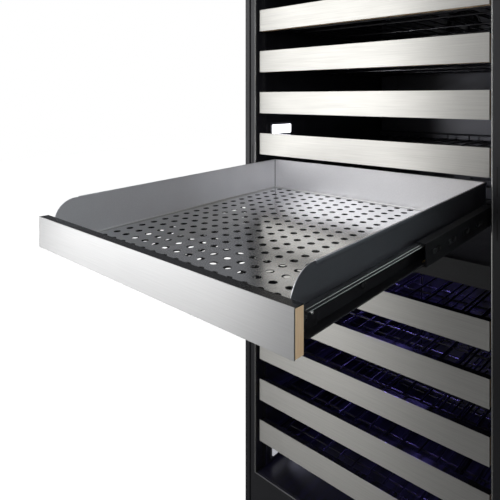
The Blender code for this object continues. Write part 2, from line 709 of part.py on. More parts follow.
COMPRESSOR_PAINT = material("compressor_paint", (0.020, 0.020, 0.020), 0.40)
FOAM_FINISH = material("polyurethane_foam", (0.78, 0.70, 0.48), 0.95)
LAMP_GLOW = material("lamp_lens", (0.95, 0.95, 0.98), 0.30)
LED_GLOW = material("led_lens", (0.30, 0.30, 0.95), 0.30)

outer_shell()
liner_and_foam()
back_panel()
rear_grille()
base_pan()
feet()
front_frame()
kick_grille()
zone_divider()
runner_panel("runner_panel_left", -1)
runner_panel("runner_panel_right", 1)
cooling_system()
machine_room()
lights()
for shelf_number, shelf_slot in enumerate(shelf_slots(), start=1):
    shelf(shelf_number, shelf_slot)
tray()
hinge_top()
hinge_bottom()
door()
centre_on_floor()
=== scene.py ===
"""Looks of the dual-zone wine cooler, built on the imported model.

Local places are in metres: X is 0 at the cabinet's middle, Y is 0 at the plane of the shelf fronts and grows
towards the back, and Z is the height above the floor. piece() moves them into the model's own frame.
"""

import json
from math import cos, pi, radians, sin

import bmesh
import bpy
from mathutils import Matrix, Vector


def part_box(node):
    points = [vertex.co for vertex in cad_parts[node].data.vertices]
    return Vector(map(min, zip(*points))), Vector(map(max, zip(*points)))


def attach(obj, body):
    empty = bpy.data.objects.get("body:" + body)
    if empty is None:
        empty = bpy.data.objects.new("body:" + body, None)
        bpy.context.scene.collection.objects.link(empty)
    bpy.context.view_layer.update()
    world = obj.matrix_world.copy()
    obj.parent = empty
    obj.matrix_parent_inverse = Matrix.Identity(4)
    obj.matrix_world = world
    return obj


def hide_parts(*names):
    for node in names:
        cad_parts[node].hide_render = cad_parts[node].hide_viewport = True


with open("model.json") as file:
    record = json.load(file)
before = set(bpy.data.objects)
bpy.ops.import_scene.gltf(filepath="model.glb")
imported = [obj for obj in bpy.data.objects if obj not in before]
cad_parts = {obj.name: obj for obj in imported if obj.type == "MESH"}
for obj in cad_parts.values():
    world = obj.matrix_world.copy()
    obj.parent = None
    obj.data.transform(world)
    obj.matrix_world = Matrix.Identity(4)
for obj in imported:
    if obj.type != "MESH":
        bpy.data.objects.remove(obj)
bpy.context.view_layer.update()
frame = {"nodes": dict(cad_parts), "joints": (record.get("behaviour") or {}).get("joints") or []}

# ---- Places taken from the frame --------------------------------------------------------------------------
FRONT_LOW, FRONT_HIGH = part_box("shelf_3_front")
MIDDLE = Vector(((FRONT_LOW.x + FRONT_HIGH.x) / 2, FRONT_LOW.y, 0))
JOINTS = {joint["name"]: joint for joint in frame["joints"]}
SHELVES = [name for name in frame["nodes"] if name.startswith("shelf_") and name.endswith("_rack")]
SHELVES = sorted(int(name.split("_")[1]) for name in SHELVES)

DOOR_ANGLE = radians(115)  # how far the door stands open at rest
HINGE = Vector(JOINTS["door_hinge"]["pos_m"][:2] + [0])
SWING = Matrix.Translation(HINGE) @ Matrix.Rotation(DOOR_ANGLE, 4, "Z")
INTO_MODEL = Matrix.Translation(MIDDLE)
TRAY_AXIS = Vector(JOINTS["tray_slide"]["axis"])
TRAY_RISE = TRAY_AXIS.z / TRAY_AXIS.y  # the tray's pan and slides climb to the back by this slope


def local(node):
    """Lowest and highest corner of a CAD node, in local places."""
    low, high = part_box(node)
    return low - MIDDLE, high - MIDDLE


def shut_box(node):
    """Lowest and highest corner of a door node as if the door were shut, from the hinge axis."""
    points = [SWING.inverted() @ vertex.co for vertex in frame["nodes"][node].data.vertices]
    corners = [[choose(point[i] for point in points) for i in range(3)] for choose in (min, max)]
    return Vector(corners[0]), Vector(corners[1])


# ---- Sizes that only the looks need -----------------------------------------------------------------------
FACE = 0.0010  # stainless face sheet
BACKING = 0.0008  # black layer behind it
CAP = 0.0012  # black cap over a shelf front's wooden core
LONG_WIRE = 0.0020  # radii of the shelves' wires
CROSS_WIRE = 0.0024
FRAME_WIRE = 0.0030
WIRE_PITCH = 0.0370
WIRE_PHASE = -0.0070  # a long wire's place across, from which the others are counted
CROSS_PLACES = (0.085, 0.150, 0.300, 0.440, 0.555)  # behind the shelf front
RAIL_HEIGHT = 0.0165  # raised rear rail above the shelf's wires
EXTRA_WIRE = 0.187  # place across of one more long wire
RAIL_POSTS = (0.148, 0.136, 0.030)  # places across of the rail's posts, on both sides of the middle

PAN_SHEET = 0.0010
BEND = 0.0010  # of the fold between the floor and a wall
PAN_CORNER = 0.037  # radius of a side wall's front corner
HOLE_RADIUS = 0.0061
HOLE_PITCH = (0.0271, 0.0258)  # across and front to back
HOLE_COLUMNS, HOLE_ROWS = 17, 20
UNDER_DEPTH, UNDER_INSET = 0.016, 0.012  # of the second perforated sheet: below the floor, inside its edges
UNDER_PITCH = (0.01673, 0.03108)
UNDER_COLUMNS, UNDER_ROWS = 25, 17
UNDER_FIRST = (-0.2068, 0.0201)  # its first hole, from the middle and from the pan's back
LAST_ROW = 0.0139  # from the back row of holes to the pan's back wall
HEM_HEIGHT = 0.0050
DRAWER_WEB, DRAWER_LIP = 0.2440, 0.2563  # places across of a slide's drawer member: outer face, edges
BALL_PLACE = 0.2530  # of the balls between the drawer and middle members, across
MIDDLE_WEB = 0.2597  # outer face of the slide's middle member

GROOVE = (0.0150, 0.0190)  # inset of the front frame's groove
FRAME_INSET = 0.0330  # from the frame's outer edge to the opening
CATCH_PLACE = 0.2747  # of the catch slots, across
BEAD_RADIUS = 0.0018
WALL = 0.2617  # inner face of a runner panel, across
SHELF_PITCH = 0.0976
BUTTON_DROP = 0.118  # from the top of shelf 3's front to the row of air buttons below it
LOUVRE_ROWS, LOUVRE_PITCH, LOUVRE_START = 8, 0.020, 0.025  # of the rear grille, as its slots are cut
LOUVRE_OFFSET, LOUVRE_HALF = 0.145, 0.105  # of each louvre's middle across, and half its width
DOOR_SKIN = 0.030  # depth of the door's stainless part; a black inner frame lies behind it
PANE = 0.0038  # thickness of each of the door's panes
BORDER = 0.022  # width of the black border on its glass

FLAT = 20  # degrees of crease that keep a broad face flat inside its rounded edges
FLOOR_DARK, FLOOR_BRIGHT = 1.65, 2.05  # distances to the front left between which the floor starts to glow


# ---- Mesh helpers -----------------------------------------------------------------------------------------
def rectangle(low_x, low_y, high_x, high_y):
    return [(low_x, low_y), (high_x, low_y), (high_x, high_y), (low_x, high_y)]


def circle(x, y, radius, steps=16):
    angles = [2 * pi * i / steps for i in range(steps)]
    return [(x + radius * cos(a), y + radius * sin(a)) for a in angles]


def arc(x, y, radius, start, end, steps=8):
    angles = [radians(start + (end - start) * i / steps) for i in range(steps + 1)]
    return [(x + radius * cos(a), y + radius * sin(a)) for a in angles]


def fillet(points, radius, steps=4, closed=False):
    """The same route with each corner rounded."""
    points = [Vector(point) for point in points]
    count = len(points)
    made = []
    for i, corner in enumerate(points):
        if not closed and i in (0, count - 1):
            made.append(corner)
            continue
        before = corner + (points[i - 1] - corner).normalized() * radius
        after = corner + (points[(i + 1) % count] - corner).normalized() * radius
        for step in range(steps + 1):
            t = step / steps
            made.append(before * (1 - t) ** 2 + corner * 2 * t * (1 - t) + after * t * t)
    return made


def band(side, a, b):
    """Two places across on one side of the middle, the lower one first."""
    return sorted((side * a, side * b))


def block(bm, low, high, rounding=0.0, segments=2):
    """A block between two corners, with rounded edges."""
    low, high = Vector(low), Vector(high)
    verts = bmesh.ops.create_cube(bm, size=1.0)["verts"]
    bmesh.ops.scale(bm, vec=high - low, verts=verts)
    bmesh.ops.translate(bm, vec=(low + high) / 2, verts=verts)
    if rounding:
        edges = list({edge for vert in verts for edge in vert.link_edges})
        bmesh.ops.bevel(bm, geom=edges, offset=rounding, segments=segments, profile=0.5, affect="EDGES")


def add_curve(bm, curve, turn=(0, 0, 0), shift=(0, 0, 0)):
    """Turns a curve into a welded mesh and adds it to bm."""
    holder = bpy.data.objects.new("outline", curve)
    mesh = bpy.data.meshes.new_from_object(holder)
    matrix = Matrix.Translation(shift) @ Matrix.Rotation(turn[2], 4, "Z") @ Matrix.Rotation(turn[0], 4, "X")
    mesh.transform(matrix)
    part = bmesh.new()
    part.from_mesh(mesh)
    bmesh.ops.remove_doubles(part, verts=part.verts, dist=0.000001)
    bmesh.ops.recalc_face_normals(part, faces=part.faces)
    part.to_mesh(mesh)
    part.free()
    bm.from_mesh(mesh)
    bpy.data.objects.remove(holder)
    bpy.data.curves.remove(curve)
    bpy.data.meshes.remove(mesh)


def plate(bm, loops, low, high, plane="xz"):
    """An outline with holes in a plane, given a depth from low to high along the third axis."""
    curve = bpy.data.curves.new("outline", "CURVE")
    curve.dimensions = "2D"
    curve.fill_mode = "BOTH"
    curve.extrude = (high - low) / 2
    for points in loops:
        spline = curve.splines.new("POLY")
        spline.points.add(len(points) - 1)
        for point, (x, y) in zip(spline.points, points):
            point.co = (x, y, 0, 1)
        spline.use_cyclic_u = True
    middle = (low + high) / 2
    turn, shift = {
        "xy": ((0, 0, 0), (0, 0, middle)),
        "xz": ((pi / 2, 0, 0), (0, middle, 0)),
        "yz": ((pi / 2, 0, pi / 2), (middle, 0, 0)),
    }[plane]
    add_curve(bm, curve, turn, shift)


def rods(bm, routes, radius, closed=False, resolution=2):
    """Round bars along routes, with flat ends."""
    curve = bpy.data.curves.new("rods", "CURVE")
    curve.dimensions = "3D"
    curve.bevel_depth = radius
    curve.bevel_resolution = resolution
    curve.use_fill_caps = True
    for points in routes:
        spline = curve.splines.new("POLY")
        spline.points.add(len(points) - 1)
        for point, position in zip(spline.points, points):
            point.co = (*position, 1)
        spline.use_cyclic_u = closed
    add_curve(bm, curve)


def ring(bm, low, high, section):
    """A mitred frame round a rectangle, from a closed section of (inset, y, inset at the sill) points."""
    rows = []
    for inset, y, sill in section:
        left, right, bottom, top = low.x + inset, high.x - inset, low.z + sill, high.z - inset
        corners = [(left, bottom), (right, bottom), (right, top), (left, top)]
        rows.append([bm.verts.new((x, y, z)) for x, z in corners])
    for near, far in zip(rows, rows[1:] + rows[:1]):
        for i in range(4):
            j = (i + 1) % 4
            bm.faces.new((near[i], near[j], far[j], far[i]))
    bmesh.ops.recalc_face_normals(bm, faces=bm.faces)


def even(section):
    """A section for ring() whose inset is the same at the sill as elsewhere."""
    return [(inset, y, inset) for inset, y in section]


def turned(bm, profile, centre, axis="z", steps=20):
    """A closed solid turned from (radius, height) points about an axis through centre."""
    rows = []
    for radius, height in profile:
        points = [(x, y, height) for x, y in circle(0, 0, radius, steps)]
        if axis == "y":
            points = [(x, z, y) for x, y, z in points]
        if axis == "x":
            points = [(z, x, y) for x, y, z in points]
        rows.append([bm.verts.new(Vector(point) + Vector(centre)) for point in points])
    for near, far in zip(rows, rows[1:]):
        for i in range(steps):
            j = (i + 1) % steps
            bm.faces.new((near[i], near[j], far[j], far[i]))
    for row in (rows[0], rows[-1]):
        bm.faces.new(row)
    bmesh.ops.recalc_face_normals(bm, faces=bm.faces)


def screws(bm, places, axis, radius=0.0038, height=0.0018, out=1):
    """Domed screw heads with a socket, standing out from places along an axis."""
    dome = [(radius, 0), (radius, height * 0.45), (radius * 0.8, height * 0.85), (radius * 0.45, height)]
    dome += [(radius * 0.38, height * 0.4), (0.0002, height * 0.4)]
    for place in places:
        turned(bm, [(r, out * h) for r, h in dome], place, axis, 12)


def piece(name, bm, finish, body, slot, *replaced, matrix=INTO_MODEL, crease=35):
    """Makes bm a piece of the model that rides on a body and stands for the replaced nodes."""
    mesh = bpy.data.meshes.new(name)
    bm.to_mesh(mesh)
    bm.free()
    mesh.transform(matrix)
    mesh.materials.append(finish)
    mesh.polygons.foreach_set("use_smooth", [True] * len(mesh.polygons))
    mesh.set_sharp_from_angle(angle=radians(crease))
    made = bpy.data.objects.new(name, mesh)
    bpy.context.scene.collection.objects.link(made)
    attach(made, body)
    if replaced:
        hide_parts(*replaced)
    return made


# ---- Material helpers -------------------------------------------------------------------------------------
def material(name, colour, roughness, metallic=0.0, sockets=None):
    made = bpy.data.materials.new(name)
    made.use_nodes = True
    shader = made.node_tree.nodes["Principled BSDF"]
    shader.inputs["Base Color"].default_value = (*colour, 1.0)
    shader.inputs["Roughness"].default_value = roughness
    shader.inputs["Metallic"].default_value = metallic
    for socket, value in (sockets or {}).items():
        shader.inputs[socket].default_value = value
    return made, shader


def noise(made, vector, scale, detail, kind="ShaderNodeTexNoise"):
    texture = made.node_tree.nodes.new(kind)
    texture.inputs["Scale"].default_value = scale
    if kind == "ShaderNodeTexNoise":
        texture.inputs["Detail"].default_value = detail
    made.node_tree.links.new(vector, texture.inputs["Vector"])
    return texture.outputs["Fac" if kind == "ShaderNodeTexNoise" else "Color"]


def spread(made, value, low, high, start=0.3, end=0.7):
    """value, from start to end, stretched over low to high."""
    ranged = made.node_tree.nodes.new("ShaderNodeMapRange")
    ranged.inputs["From Min"].default_value = start
    ranged.inputs["From Max"].default_value = end
    ranged.inputs["To Min"].default_value = low
    ranged.inputs["To Max"].default_value = high
    made.node_tree.links.new(value, ranged.inputs["Value"])
    return ranged.outputs["Result"]


def blended(made, factor, dark, light):
    mixed = made.node_tree.nodes.new("ShaderNodeMix")
    mixed.data_type = "RGBA"
    mixed.inputs["A"].default_value = (*dark, 1.0)
    mixed.inputs["B"].default_value = (*light, 1.0)
    made.node_tree.links.new(factor, mixed.inputs["Factor"])
    return mixed.outputs["Result"]


def textured(name, dark, light, rough, grain, relief, drift=6.0, metallic=0.0, cells=False, sockets=None):
    """A surface whose colour and gloss drift in clouds or cells, under a finer grain that stands in relief.
    grain is the fine texture's scale along X, Y and Z, and relief its height in metres."""
    made, shader = material(name, light, rough[0], metallic, sockets)
    nodes, links = made.node_tree.nodes, made.node_tree.links
    place = nodes.new("ShaderNodeTexCoord").outputs["Object"]
    stretched = nodes.new("ShaderNodeMapping")
    stretched.inputs["Scale"].default_value = grain
    links.new(place, stretched.inputs["Vector"])
    fine = noise(made, stretched.outputs["Vector"], 1.0, 3.0)
    broad = noise(made, place, drift, 2.0, "ShaderNodeTexVoronoi" if cells else "ShaderNodeTexNoise")
    both = nodes.new("ShaderNodeMath")
    both.operation = "ADD"
    links.new(spread(made, fine, 0.0, 0.55), both.inputs[0])
    links.new(spread(made, broad, 0.0, 0.45), both.inputs[1])
    links.new(blended(made, both.outputs[0], dark, light), shader.inputs["Base Color"])
    links.new(spread(made, both.outputs[0], rough[1], rough[0], 0.0, 1.0), shader.inputs["Roughness"])
    bump = nodes.new("ShaderNodeBump")
    bump.inputs["Distance"].default_value = relief
    links.new(fine, bump.inputs["Height"])
    links.new(bump.outputs["Normal"], shader.inputs["Normal"])
    return made


def brushed(name, dark, light, rough, grain, axis, relief=0.000012, anisotropy=0.75):
    """Stainless steel whose reflections smear across its grain, which runs along an axis."""
    sockets = {"Anisotropic": anisotropy}
    made = textured(name, dark, light, rough, grain, relief, 4.0, 1.0, sockets=sockets)
    tangent = made.node_tree.nodes.new("ShaderNodeTangent")
    tangent.direction_type = "RADIAL"
    tangent.axis = axis
    shader = made.node_tree.nodes["Principled BSDF"]
    made.node_tree.links.new(tangent.outputs["Tangent"], shader.inputs["Tangent"])
    return made


def glowing(name, colour, strength, ribs):
    """A lit lens whose moulded ribs show as bands in its glow."""
    made, shader = material(name, colour, 0.25, 0.0, {"Emission Strength": strength})
    nodes, links = made.node_tree.nodes, made.node_tree.links
    place = nodes.new("ShaderNodeTexCoord").outputs["Object"]
    wave = nodes.new("ShaderNodeTexWave")
    wave.inputs["Scale"].default_value = ribs
    wave.bands_direction = "Y"
    links.new(place, wave.inputs["Vector"])
    dim = [0.75 * channel for channel in colour]
    links.new(blended(made, wave.outputs["Fac"], dim, colour), shader.inputs["Emission Color"])
    bump = nodes.new("ShaderNodeBump")
    bump.inputs["Distance"].default_value = 0.0003
    links.new(wave.outputs["Fac"], bump.inputs["Height"])
    links.new(bump.outputs["Normal"], shader.inputs["Normal"])
    return made


def clear_glass(name, colour, sockets=None):
    """Glass with faint wiping marks in its gloss."""
    values = {"Transmission Weight": 1.0, "IOR": 1.5}
    values.update(sockets or {})
    made, shader = material(name, colour, 0.02, 0.0, values)
    place = made.node_tree.nodes.new("ShaderNodeTexCoord").outputs["Object"]
    marks = noise(made, place, 7.0, 5.0)
    dim = [0.96 * channel for channel in colour]
    made.node_tree.links.new(blended(made, marks, dim, colour), shader.inputs["Base Color"])
    made.node_tree.links.new(spread(made, marks, 0.0, 0.012), shader.inputs["Roughness"])
    return made


# ---- Materials --------------------------------------------------------------------------------------------
# What textured() takes for each finish: material, dark and light colour, roughness, grain, relief, drift, and
# where they differ from its own, metallic, cells and sockets. One number stands for three alike.
SURFACES = {
    "pan": ("tray_steel", (0.60, 0.60, 0.61), (0.70, 0.70, 0.71), (0.14, 0.24), 1500, 2e-6, 5.0, 1.0),
    "deck": ("divider_black", (0.014, 0.014, 0.016), (0.024, 0.024, 0.027), (0.40, 0.52), 420, 2e-5, 14.0),
    # painted shade: the outer faces of the pan's sheet take a darker copy of its steel
    "pan_outer_painted_shade": (
        "tray_outer_steel_painted_shade", (0.32, 0.33, 0.36), (0.40, 0.41, 0.45), (0.30, 0.46), 900, 3e-6, 9.0, 1.0,
    ),
    # painted light: the inner faces of the pan's walls take a lighter copy of the floor's steel
    "pan_wall_painted_light": (
        "tray_wall_steel_painted_light", (0.76, 0.76, 0.78), (0.86, 0.86, 0.88), (0.30, 0.52), 900, 3e-6, 9.0, 1.0,
    ),
    "pan_bend": ("pan_bend_steel", 0.62, 0.74, (0.30, 0.40), 900, 2e-6, 5.0, 1.0),
    "bright": ("bright_steel", 0.62, 0.78, (0.12, 0.24), (900, 900, 30), 6e-6, 20.0, 1.0),
    "wood": ("beech_core", (0.84, 0.56, 0.31), (1.0, 0.78, 0.52), (0.50, 0.70), (60, 900, 45), 1.5e-4, 30.0),
    "cap": (
        "gloss_black_cap", (0.006, 0.006, 0.007), (0.014, 0.014, 0.016), (0.16, 0.30), 300, 1e-5,
        8.0, 0.0, False, {"Specular IOR Level": 0.18},
    ),
    "wire": ("black_wire", (0.005, 0.005, 0.007), (0.018, 0.018, 0.022), (0.26, 0.42), 500, 3e-5, 30.0),
    "liner": ("liner_black", (0.010, 0.010, 0.013), (0.020, 0.020, 0.025), (0.24, 0.38), 900, 5e-5, 7.0),
    "frame": ("frame_grey", (0.022, 0.022, 0.025), (0.040, 0.040, 0.044), (0.28, 0.42), 1200, 4e-5, 5.0),
    "bead": (
        "frame_bead", (0.60, 0.60, 0.58), (0.78, 0.78, 0.75), (0.16, 0.26), (600, 600, 20), 1e-5, 9.0, 0.9,
    ),
    "panel": (
        "dark_panel", (0.045, 0.045, 0.055), (0.070, 0.070, 0.083), (0.34, 0.50), 1000, 5e-5,
        6.0, 0.0, False, {"Specular IOR Level": 0.35},
    ),
    "gloss": (
        "gloss_black", (0.006, 0.006, 0.008), (0.014, 0.014, 0.016), (0.04, 0.10), 200, 4e-6,
        9.0, 0.0, False, {"Coat Weight": 0.6, "Coat Roughness": 0.10},
    ),
    "rubber": ("black_rubber", 0.010, 0.026, (0.60, 0.85), 1500, 8e-5, 25.0),
    "slide": ("slide_black", (0.008, 0.008, 0.010), (0.011, 0.011, 0.013), (0.46, 0.52), 600, 2e-6, 18.0),
    "brass": ("ball_cage", (0.34, 0.25, 0.12), (0.62, 0.50, 0.28), (0.24, 0.40), 700, 3e-5, 40.0, 1.0),
    "zinc": (
        "galvanised_steel", (0.42, 0.43, 0.45), (0.62, 0.63, 0.65), (0.34, 0.50), 900, 2e-5, 70.0, 1.0, True,
    ),
    "aluminium": (
        "aluminium_fins", (0.60, 0.60, 0.62), (0.80, 0.80, 0.82), (0.28, 0.42), (900, 900, 60), 3e-5,
        12.0, 1.0,
    ),
    # painted shade: the evaporator's aluminium fins in a near-black copy of the aluminium finish, for the
    # shade they sit in behind the vents
    "coated": (
        "evaporator_painted_shade", (0.030, 0.030, 0.034), (0.060, 0.060, 0.066), (0.45, 0.60), (900, 900, 60), 3e-5,
        12.0, 0.8,
    ),
    "copper": ("copper_tube", (0.50, 0.22, 0.12), (0.80, 0.42, 0.26), (0.22, 0.40), 300, 3e-5, 30.0, 1.0),
    "paint": ("cabinet_paint", (0.016, 0.016, 0.018), (0.030, 0.030, 0.033), (0.34, 0.50), 1400, 1.2e-4, 5.0),
    "pot": ("compressor_paint", 0.010, 0.028, (0.22, 0.40), 260, 1.5e-4, 14.0),
    "foam": ("rigid_foam", (0.60, 0.50, 0.28), (0.82, 0.74, 0.50), (0.85, 0.98), 700, 6e-4, 30.0),
    "smoked": ("smoked_lens", (0.006, 0.006, 0.010), (0.014, 0.014, 0.022), (0.42, 0.52), 500, 4e-6, 12.0),
}


def triple(value):
    return value if isinstance(value, tuple) else (value, value, value)


def all_materials():
    """Every finish of the cooler, by name."""
    made = {}
    steel_dark, steel_light = (0.58, 0.57, 0.54), (0.72, 0.71, 0.67)
    made["steel"] = brushed(
        "shelf_steel", steel_dark, steel_light, (0.36, 0.46), (14, 900, 900), "X", 6e-6, 0.9
    )
    made["tray_steel"] = brushed(
        "tray_front_steel", triple(0.60), triple(0.68), (0.34, 0.42), (14, 900, 900), "X", 6e-6, 0.85
    )
    made["door_steel"] = brushed("door_steel", steel_dark, steel_light, (0.26, 0.34), (1100, 1100, 9), "Z")
    for key, (name, dark, light, rough, grain, *more) in SURFACES.items():
        made[key] = textured(name, triple(dark), triple(light), rough, triple(grain), *more)
    made["glass"] = clear_glass("tinted_glass", (0.80, 0.84, 0.84))
    made["lamp"] = glowing("lamp_lens", (0.93, 0.94, 1.0), 4.0, 40.0)
    made["led"] = glowing("led_lens", (0.26, 0.22, 1.0), 8.0, 30.0)
    made["dim_lamp"] = glowing("dim_lamp_lens", (0.80, 0.81, 0.86), 0.5, 40.0)
    made["key"] = glowing("key_marks", (0.75, 0.85, 1.0), 0.6, 20.0)
    return made


FINISH = all_materials()
CAD_FINISH = {
    "paint": ["outer_shell"],
    "liner": ["inner_liner", "kick_grille", "runner_panel_left", "runner_panel_right"],
    "foam": ["foam_insulation"],
    "zinc": ["back_panel", "rear_grille", "base_pan"],
    "rubber": ["foot_front_left", "foot_front_right", "foot_rear_left", "foot_rear_right"],
    "panel": ["air_duct_upper", "air_duct_lower"],
    "deck": ["zone_divider"],
    "gloss": ["control_panel"],
    "aluminium": ["condenser"],
    "coated": ["evaporator"],
    "pot": ["compressor"],
    "slide": ["slide_left_cabinet", "slide_right_cabinet", "slide_left_middle", "slide_right_middle"]
    + ["slide_left_drawer", "slide_right_drawer", "hinge_top", "hinge_bottom"],
}


def repaint_nodes():
    for finish, nodes in CAD_FINISH.items():
        for node in nodes:
            obj = frame["nodes"][node]
            for slot in obj.material_slots:
                slot.material = FINISH[finish]


# ---- Shelves ----------------------------------------------------------------------------------------------
def front_board(prefix, low, high, steel, body, slot, replaced, core_replaced=()):
    """A stainless face on a wooden core, and a black layer between them that folds back over the core."""
    bm = bmesh.new()
    block(bm, (low.x, low.y, low.z), (high.x, low.y + FACE, high.z), 0.0003)
    piece(f"{prefix}_face", bm, FINISH[steel], body, slot, *replaced, crease=FLAT)
    bm = bmesh.new()
    front, back = low.y + FACE + 0.0001, high.y
    top = high.z - 0.0003
    block(bm, (low.x + 0.0002, front, low.z + 0.0003), (high.x - 0.0002, front + BACKING, top - CAP))
    block(bm, (low.x + 0.0002, front, top - CAP), (high.x - 0.0002, back, top), 0.0003)
    piece(f"{prefix}_cap", bm, FINISH["cap"], body, "black_plastic", crease=FLAT)
    bm = bmesh.new()
    low_core = (low.x + 0.0003, front + BACKING + 0.0001, low.z + 0.0003)
    block(bm, low_core, (high.x - 0.0003, back - 0.0002, top - CAP - 0.0001), 0.0004)
    piece(f"{prefix}_core", bm, FINISH["wood"], body, "beech_core", *core_replaced, crease=FLAT)


def long_places(half):
    """Where the front-to-back wires lie across a shelf."""
    first = int((-half - WIRE_PHASE) / WIRE_PITCH)
    places = [WIRE_PHASE + WIRE_PITCH * i for i in range(first, -first + 2)]
    return [x for x in places if abs(x) < half - 0.012]


def rack(shelf):
    """Long wires on cross wires inside a heavier frame, with a raised rail behind."""
    low, high = local(f"{shelf}_rack")
    half, front, back = high.x, low.y, high.y
    deck = low.z + FRAME_WIRE
    long_z = deck + FRAME_WIRE - LONG_WIRE
    cross_z = long_z - LONG_WIRE - CROSS_WIRE + 0.0004
    inner = half - FRAME_WIRE
    bm = bmesh.new()
    corners = [(inner, front + 0.004, deck), (inner, back - 0.003, deck)]
    corners += [(-inner, back - 0.003, deck), (-inner, front + 0.004, deck)]
    rods(bm, [fillet(corners, 0.012, closed=True)], FRAME_WIRE, closed=True)
    places = long_places(inner) + [EXTRA_WIRE]
    rods(bm, [[(x, front + 0.001, long_z), (x, back - 0.004, long_z)] for x in places], LONG_WIRE)
    reach = inner - 0.008
    rods(bm, [[(-reach, y, cross_z), (reach, y, cross_z)] for y in CROSS_PLACES], CROSS_WIRE)
    rail_y, rail_z = back - 0.012, deck + RAIL_HEIGHT
    rods(bm, [[(-inner, rail_y, rail_z), (inner, rail_y, rail_z)]], CROSS_WIRE)
    posts = [side * x for side in (-1, 1) for x in (inner, *RAIL_POSTS)]
    rods(bm, [[(x, rail_y, cross_z), (x, rail_y, rail_z)] for x in posts], LONG_WIRE)
    piece(f"{shelf}_wires", bm, FINISH["wire"], shelf, "black_wire", f"{shelf}_rack")


def shelves():
    for number in SHELVES:
        shelf, front = f"shelf_{number}", f"shelf_{number}_front"
        front_board(shelf, *local(front), "steel", shelf, "shelf_stainless", [front])
        rack(shelf)


# ---- Serving tray -----------------------------------------------------------------------------------------
def holes(first, pitch, columns, rows):
    """Round holes in straight rows, from the left one of the back row."""
    places = [(first[0] + pitch[0] * i, first[1] - pitch[1] * j) for j in range(rows) for i in range(columns)]
    return [circle(x, y, HOLE_RADIUS) for x, y in places]


def climbing(front):
    """Lifts places laid out level so that they climb to the back, from a front plane."""
    slope = Matrix.Identity(4)
    slope[2][1] = TRAY_RISE
    slope[2][3] = -TRAY_RISE * front
    return INTO_MODEL @ slope


def tray_pan():
    """Folded from one sheet: a perforated floor, two side walls with rounded front corners, and a back wall.
    It is laid out level, and climbs to the back as its slides do."""
    low, high = local("tray_pan")
    high.z -= TRAY_RISE * (high.y - low.y)
    sloped = climbing(low.y)
    bm = bmesh.new()
    first = (-HOLE_PITCH[0] * (HOLE_COLUMNS - 1) / 2, high.y - LAST_ROW)
    loops = [rectangle(low.x, low.y, high.x, high.y)] + holes(first, HOLE_PITCH, HOLE_COLUMNS, HOLE_ROWS)
    plate(bm, loops, low.z, low.z + PAN_SHEET, "xy")
    piece("tray_floor", bm, FINISH["pan"], "tray", "brushed_stainless", "tray_pan", matrix=sloped)
    # A second perforated sheet below the floor. It is stainless, but takes the black cap finish: painted
    # shade for the dark space under the floor.
    reach, under = high.x - UNDER_INSET, low.z - UNDER_DEPTH
    front, back = low.y + 0.006, high.y - 0.003
    bm = bmesh.new()
    first = (UNDER_FIRST[0], high.y - UNDER_FIRST[1])
    loops = [rectangle(-reach, front, reach, back)] + holes(first, UNDER_PITCH, UNDER_COLUMNS, UNDER_ROWS)
    plate(bm, loops, under, under + PAN_SHEET, "xy")
    for x in (-reach, reach - PAN_SHEET):
        plate(bm, [rectangle(front, under, back, low.z + 0.0001)], x, x + PAN_SHEET, "yz")
    for y in (front, back - PAN_SHEET):
        plate(bm, [rectangle(-reach, under, reach, low.z + 0.0001)], y, y + PAN_SHEET, "xz")
    piece("tray_under_sheet", bm, FINISH["cap"], "tray", "brushed_stainless", matrix=sloped)
    # The inner faces of the walls, in a lighter copy of the floor's steel: painted light.
    bm = bmesh.new()
    outline = [(low.y, low.z), (high.y, low.z), (high.y, high.z)]
    outline += arc(low.y + PAN_CORNER, high.z - PAN_CORNER, PAN_CORNER, 90, 180, 10)
    hem_start = low.y + PAN_CORNER + 0.006
    for side in (-1, 1):
        near, far = band(side, high.x - PAN_SHEET / 2, high.x - PAN_SHEET)
        plate(bm, [outline], near, far, "yz")
        near, far = band(side, high.x + 0.0013, high.x - PAN_SHEET)
        block(bm, (near, hem_start, high.z - 0.0002), (far, high.y, high.z + 0.0010), 0.0005)
    plate(bm, [rectangle(low.x, low.z, high.x, high.z)], high.y - PAN_SHEET, high.y, "xz")
    rim = (high.x, high.y + 0.0014, high.z + 0.0008)
    block(bm, (low.x, high.y - PAN_SHEET, high.z - 0.0004), rim, 0.0005)
    piece("tray_walls", bm, FINISH["pan_wall_painted_light"], "tray", "brushed_stainless", matrix=sloped)
    # The outer faces of the walls, in a darker copy of the sheet's steel: painted shade.
    bm = bmesh.new()
    for side in (-1, 1):
        near, far = band(side, high.x, high.x - PAN_SHEET / 2 + 0.00005)
        plate(bm, [outline], near, far, "yz")
        near, far = band(side, high.x + 0.0001, high.x + 0.0013)
        block(bm, (near, hem_start, high.z - HEM_HEIGHT), (far, high.y, high.z + 0.0004), 0.0004)
    piece("tray_outer_walls", bm, FINISH["pan_outer_painted_shade"], "tray", "brushed_stainless", matrix=sloped)
    reach, deck = high.x - PAN_SHEET - BEND, low.z + PAN_SHEET + BEND
    back = high.y - PAN_SHEET - BEND
    bm = bmesh.new()
    for x in (-reach, reach):
        rods(bm, [[(x, low.y + 0.004, deck), (x, back, deck)]], BEND * 1.3)
    rods(bm, [[(-reach, back, deck), (reach, back, deck)]], BEND * 1.3)
    piece("tray_bends", bm, FINISH["pan_bend"], "tray", "brushed_stainless", matrix=sloped)
    # Black rods up the pan's two back corners: painted shade for the dark gap where the back wall meets the
    # side walls.
    bm = bmesh.new()
    for x in (-high.x + PAN_SHEET, high.x - PAN_SHEET):
        rods(bm, [[(x, high.y - PAN_SHEET, deck), (x, high.y - PAN_SHEET, high.z)]], 0.0009)
    piece("tray_corner_painted_shade", bm, FINISH["slide"], "tray", "brushed_stainless", matrix=sloped)


def level(node):
    """Lowest and highest corner of a slide member as if it lay level at its front end."""
    low, high = local(node)
    high.z -= TRAY_RISE * (high.y - low.y)
    return low, high


